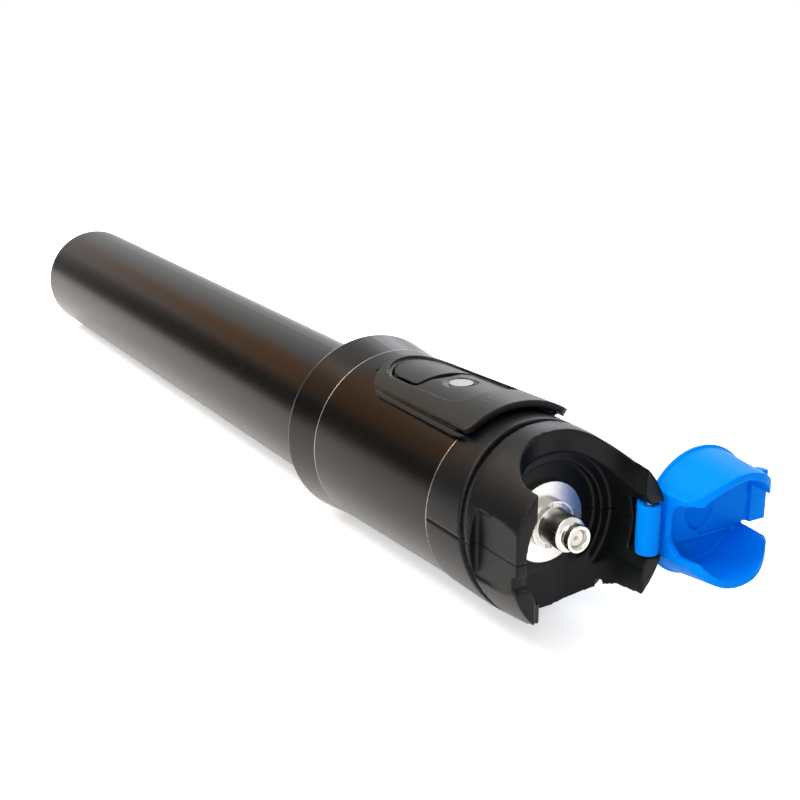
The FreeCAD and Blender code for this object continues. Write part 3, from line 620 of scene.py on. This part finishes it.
def pin(centre, radius, length, turn=(0, 0, 0)):
    """A round pin, upright unless it is given a turn."""
    bpy.ops.object.select_all(action="DESELECT")
    bpy.ops.mesh.primitive_cylinder_add(
        vertices=PIN_SIDES, radius=radius * MM, depth=length * MM,
        location=[value * MM for value in centre], rotation=turn)
    made = bpy.context.object
    settle(made)
    return made


def level_recess(pad):
    """Fill the pad's recess and cut it again at one even depth."""
    filler = rounded_block(*RECESS_FILLER, *FILLER_ROUNDS)
    carve(filler, pad_cone(RECESS_DEEP), "INTERSECT")
    carve(pad, filler, "UNION")
    plug = block(*TAIL_PLUG)
    carve(plug, pad_cone(TAIL_PLUG_SUNK), "INTERSECT")
    carve(pad, plug, "UNION")
    hollow = rounded_block(*RECESS_HOLLOW, *HOLLOW_ROUNDS)
    carve(hollow, pad_cone(RECESS_DEEP))
    carve(pad, hollow)


def step_side(pad, side):
    """Cut one side of the pad down to its lower layer, with a groove at the
    foot of the step."""
    turn = side * math.radians(LEDGE_TURN)
    inner, outer = sorted((0, side * LEDGE_WIDE))
    carve(pad, block((inner, LEDGE_FRONT, LEDGE_TOP), (outer, LEDGE_REAR, LEDGE_CLEAR), turn))
    inner, outer = sorted((0, side * GROOVE_WIDE))
    carve(pad, block((inner, LEDGE_FRONT, LEDGE_TOP - GROOVE_DEEP),
                     (outer, GROOVE_REAR, LEDGE_CLEAR), turn))


def round_corner(pad, side):
    """Round one front corner of the pad."""
    inner = side * (CORNER_OFFSET - CORNER_ROUND)
    left, right = sorted((inner, side * (CORNER_OFFSET + CORNER_SPARE)))
    cutter = block((left, PAD_FRONT - OVERSHOOT, CORNER_LOW),
                   (right, PAD_FRONT + CORNER_ROUND, CORNER_HIGH))
    middle = (CORNER_HIGH + CORNER_LOW) / 2
    tall = CORNER_HIGH - CORNER_LOW + 2 * OVERSHOOT
    carve(cutter, pin((inner, PAD_FRONT + CORNER_ROUND, middle), CORNER_ROUND, tall))
    turn_about_pen(cutter, side * math.radians(CORNER_TURN))
    carve(pad, cutter)


def make_pad(material):
    """The switch pad: an even recess round button and lamp, a thinner lower
    layer that shows as a strip along both sides, and rounded front corners."""
    pad = merged_copy("pad_moulding", "switch_pad")
    level_recess(pad)
    carve(pad, rounded_block(*BUTTON_SLOT, *SLOT_ROUNDS))
    dish_middle = (DISH_CLEAR + DISH_FLOOR) / 2
    carve(pad, pin((0, DISH_PLACE, dish_middle), DISH_RADIUS, DISH_CLEAR - DISH_FLOOR))
    for side in (-1, 1):
        step_side(pad, side)
        round_corner(pad, side)
    mould(pad, skin=0.13, rounds=8, share=0.6)
    hand_over(pad, "head", "pad_black", material, "switch_pad")


def make_button(material):
    """The D-shaped button, crowned like the recess and a little proud of it."""
    button = rounded_block(*BUTTON_BOX, *BUTTON_ROUNDS)
    button.name = "button_moulding"
    carve(button, pad_cone(RECESS_DEEP - BUTTON_PROUD), "INTERSECT")
    mould(button, skin=0.1, rounds=6, share=0.6)
    hand_over(button, "button", "pad_black", material, "power_button")


def make_cap(material):
    """The dust cap, with a round-bottomed gap beside its hinge."""
    cap = merged_copy("cap_moulding", "dust_cap")
    corners = block(*GAP_FILLER)
    carve(corners, pin(GAP_CENTRE, GAP_RADIUS, GAP_LENGTH, turn=(0, math.pi / 2, 0)))
    carve(cap, corners, "UNION")
    mould(cap, skin=0.12, rounds=6, share=0.5)
    hand_over(cap, "cap", "cap_blue", material, "dust_cap")


def make_nose(material):
    """The two nose shells with soft rims. The lower one's scallop reaches
    further back than the CAD node's."""
    upper = merged_copy("nose_upper_moulding", "nose_upper_shell")
    mould(upper, skin=0.2, rounds=5, share=0.8)
    hand_over(upper, "head", "moulded_black", material, "nose_upper_shell")
    lower = merged_copy("nose_lower_moulding", "nose_lower_shell")
    carve(lower, rounded_block(*SCALLOP, *SCALLOP_ROUNDS))
    carve(lower, rounded_block(*SCALLOP_CORNER, *SCALLOP_CORNER_ROUNDS))
    mould(lower, skin=0.2, rounds=5, share=0.8)
    hand_over(lower, "head", "moulded_black", material, "nose_lower_shell")


def draw_rings(rings):
    """Draw a first ring out from ring to ring and back to where it began."""
    place, radius = rings[0]
    for next_place, next_radius in rings[1:] + rings[:1]:
        bpy.ops.mesh.extrude_region_move(
            TRANSFORM_OT_translate={"value": (0, (next_place - place) * MM, 0)})
        ratio = next_radius / radius
        bpy.ops.transform.resize(
            value=(ratio, 1, ratio), center_override=(0, next_place * MM, 0))
        place, radius = next_place, next_radius


def turned_piece(name, rings, edge, sides):
    """A piece turned about the axis of the port, its corners broken by an edge."""
    place, radius = rings[0]
    bpy.ops.object.select_all(action="DESELECT")
    bpy.ops.mesh.primitive_circle_add(
        vertices=sides, radius=radius * MM, location=(0, place * MM, 0), rotation=(math.pi / 2, 0, 0))
    piece = bpy.context.object
    piece.name = name
    settle(piece)
    start_edit(piece)
    draw_rings(rings)
    bpy.ops.mesh.select_all(action="SELECT")
    bpy.ops.mesh.remove_doubles(threshold=MERGE * MM)
    bpy.ops.mesh.normals_make_consistent(inside=False)
    bpy.ops.object.mode_set(mode="OBJECT")
    apply_new(piece, "BEVEL", width=edge * MM, segments=3, limit_method="ANGLE",
              angle_limit=math.radians(25), use_clamp_overlap=True)
    bpy.ops.object.shade_smooth_by_angle(angle=math.radians(35))
    return piece


def make_adapter(material):
    """The ferrule adapter: hub, barrel, neck and flared mouth in one turning."""
    piece = turned_piece("adapter_turning", ADAPTER_RINGS, edge=0.14, sides=96)
    hand_over(piece, "head", "nickel", material, "ferrule_adapter")


def make_stub(material):
    """The ceramic stub that shows pale in the mouth of the adapter."""
    piece = turned_piece("ceramic_stub", STUB_RINGS, edge=0.08, sides=64)
    hand_over(piece, "head", "zirconia", material)


def make_seams(material):
    """Thin pale rings at the barrel's seams: a painted highlight on its edges."""
    for name, (place, radius) in SEAMS.items():
        piece = turned_piece(name, [
            (place, radius - SEAM_DEEP),
            (place, radius),
            (place + SEAM_WIDE, radius),
            (place + SEAM_WIDE, radius - SEAM_DEEP),
        ], edge=0.04, sides=160)
        hand_over(piece, "head", "anodised_black", material)


bpy.context.scene.view_settings.view_transform = "Standard"
set_camera()
set_world()
set_floor()

lamp("key_lamp", place=(-350, 350, 900), aim=(0, 60, 0), width=900, power=11.0, colour="#fff3e6")
lamp("fill_lamp", place=(-700, -500, 600), aim=(0, 20, 0), width=900, power=6.0, colour="#ffffff")
lamp("rim_lamp", place=(700, 500, 600), aim=(0, 60, 0), width=900, power=7.0, colour="#f4f8ff")

# One card keeps the middle of the barrel dark, one gives its upper band a
# warm sheen, and one beside the pen keeps its lower sheen narrow
card("black_flag", place=(-480, 520, 90), width=800, height=300, colour="#000000", strength=0.0)
card("warm_card", place=(-190, 560, 330), width=420, height=240, colour="#a86a26", strength=2.6)
card("dark_mat", place=(-300, 330, -13), width=520, height=620, colour="#000000", strength=0.0,
     turn=(0, 0, math.radians(35)))

# A small lamp puts a glint on the rims that face the camera
lamp("glint_lamp", place=(-330, -20, 430), aim=(0, 20, 0), width=110, power=0.7, colour="#ffffff")

shell_plastic = moulded_abs()
pad_paint = soft_touch_paint()
cap_plastic = polyethylene()
nickel = nickel_plate()
# Near white and close-grained, with the gloss of a ground surface
ceramic = even_finish("ground_zirconia_ceramic", "#ece8dc", "#f4f1e8", metallic=0.0, rough=0.2)

dress(shell_plastic, "nose_upper_shell", "nose_lower_shell")
dress(anodised_aluminium(), "barrel", "collar", "battery_tube")
dress(pad_paint, "switch_pad", "power_button")
dress(cap_plastic, "dust_cap")
dress(nickel, "port_flange", "ferrule_adapter")
dress(ceramic, "ferrule_sleeve")
dress_inside()

make_adapter(nickel)
make_stub(ceramic)
# A thin pale ring at each seam of the barrel, a painted highlight in a metal finish
make_seams(even_finish("painted_seam_highlight", "#8e8c88", "#a19f9b", metallic=1.0, rough=0.3))
make_cap(cap_plastic)
make_pad(pad_paint)
make_button(pad_paint)
make_nose(shell_plastic)
